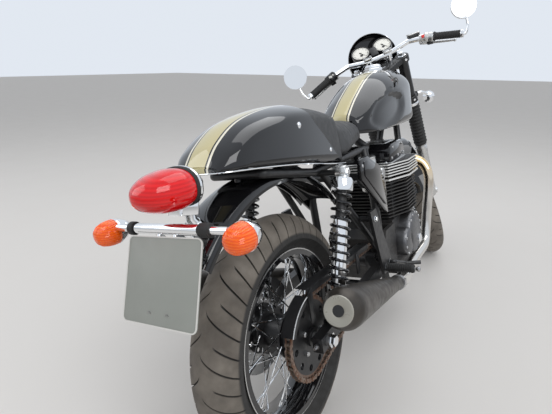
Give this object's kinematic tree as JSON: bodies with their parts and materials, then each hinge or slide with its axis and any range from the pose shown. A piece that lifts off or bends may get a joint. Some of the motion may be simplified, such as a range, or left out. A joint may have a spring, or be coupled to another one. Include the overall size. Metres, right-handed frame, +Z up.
{
  "type": "cafe racer motorcycle",
  "caption": "Cafe racer motorcycle with a bullet seat cowl, twin shocks and wire wheels, leaning on its side stand with the bars on the left stop.",
  "frame": {"origin": "on the ground, under the middle of the parked machine's bounding box", "axes": "+Y along the machine to its front, +X to its right, +Z up; the machine leans left on its side stand"},
  "size_m": [0.7557, 2.1562, 1.2843],
  "materials": {
    "gloss_black": "gloss",
    "satin_black": "satin",
    "engine_black": "satin",
    "chrome": "polished",
    "alloy": "brushed",
    "dark_exhaust": "satin",
    "chain_steel": "rough",
    "steel": "brushed",
    "rubber": "matte",
    "tyre": "matte",
    "vinyl": "satin",
    "red_lens": "gloss",
    "amber_lens": "gloss",
    "clear_lens": "clear",
    "plate": "satin",
    "mirror": "polished"
  },
  "bodies": {
    "frame": {"frame": "satin_black", "crankcase": "engine_black", "cylinder_barrels": "engine_black", "cylinder_head": "engine_black", "engine_covers": "engine_black", "sprocket_cover": "engine_black", "front_sprocket": "steel", "carburettors": "alloy", "exhaust_headers": "chrome", "silencers": "dark_exhaust", "fuel_tank": "gloss_black", "fuel_cap": "chrome", "seat_cowl": "gloss_black", "seat": "vinyl", "side_covers": "gloss_black", "rear_fender": "gloss_black", "tail_lamp": "chrome", "tail_lens": "red_lens", "indicator_bar": "chrome", "rear_indicators": "amber_lens", "number_plate": "plate", "swingarm": "satin_black", "rear_axle": "steel", "shock_dampers": "satin_black", "shock_springs": "chrome", "chain": "chain_steel", "chain_guard": "satin_black", "foot_hangers": "satin_black", "foot_pegs": "rubber", "brake_pedal": "chrome", "gear_lever": "chrome", "rear_caliper": "satin_black"},
    "steering": {"fork_yokes": "satin_black", "fork_legs": "alloy", "fork_gaiters": "rubber", "front_axle": "steel", "front_fender": "gloss_black", "headlamp": "satin_black", "headlamp_lens": "clear_lens", "gauges": "satin_black", "fly_screen": "gloss_black", "handlebar": "chrome", "grips": "rubber", "switchgear": "satin_black", "levers": "alloy", "mirrors": "mirror", "front_indicators": "amber_lens", "front_caliper": "satin_black"},
    "front_wheel": {"front_tyre": "tyre", "front_rim": "satin_black", "front_hub": "satin_black", "front_spokes": "chrome", "front_disc": "steel"},
    "rear_wheel": {"rear_tyre": "tyre", "rear_rim": "satin_black", "rear_hub": "satin_black", "rear_spokes": "chrome", "rear_sprocket": "steel", "rear_disc": "steel"},
    "side_stand": {"side_stand": "satin_black"}
  },
  "joints": [
    {"name": "steering_turn", "type": "hinge", "parent": "frame", "child": "steering", "pos_m": [0.1781, 0.89238, -0.00656], "axis": [-0.1685, -0.4497, 0.8771], "range_deg": [-61.6, 0]},
    {"name": "front_wheel_spin", "type": "hinge", "parent": "steering", "child": "front_wheel", "pos_m": [0.08954, 0.78958, 0.29695], "axis": [0.7995, 0.4581, 0.3885], "continuous": true},
    {"name": "rear_wheel_spin", "type": "hinge", "parent": "frame", "child": "rear_wheel", "pos_m": [0.11759, -0.69307, 0.31541], "axis": [0.982, 0.0009, 0.1891], "continuous": true},
    {"name": "side_stand_swing", "type": "hinge", "parent": "frame", "child": "side_stand", "pos_m": [0.00032, -0.05387, 0.14917], "axis": [-0.8227, 0.0871, 0.5617], "range_deg": [0, 105.56]}
  ]
}
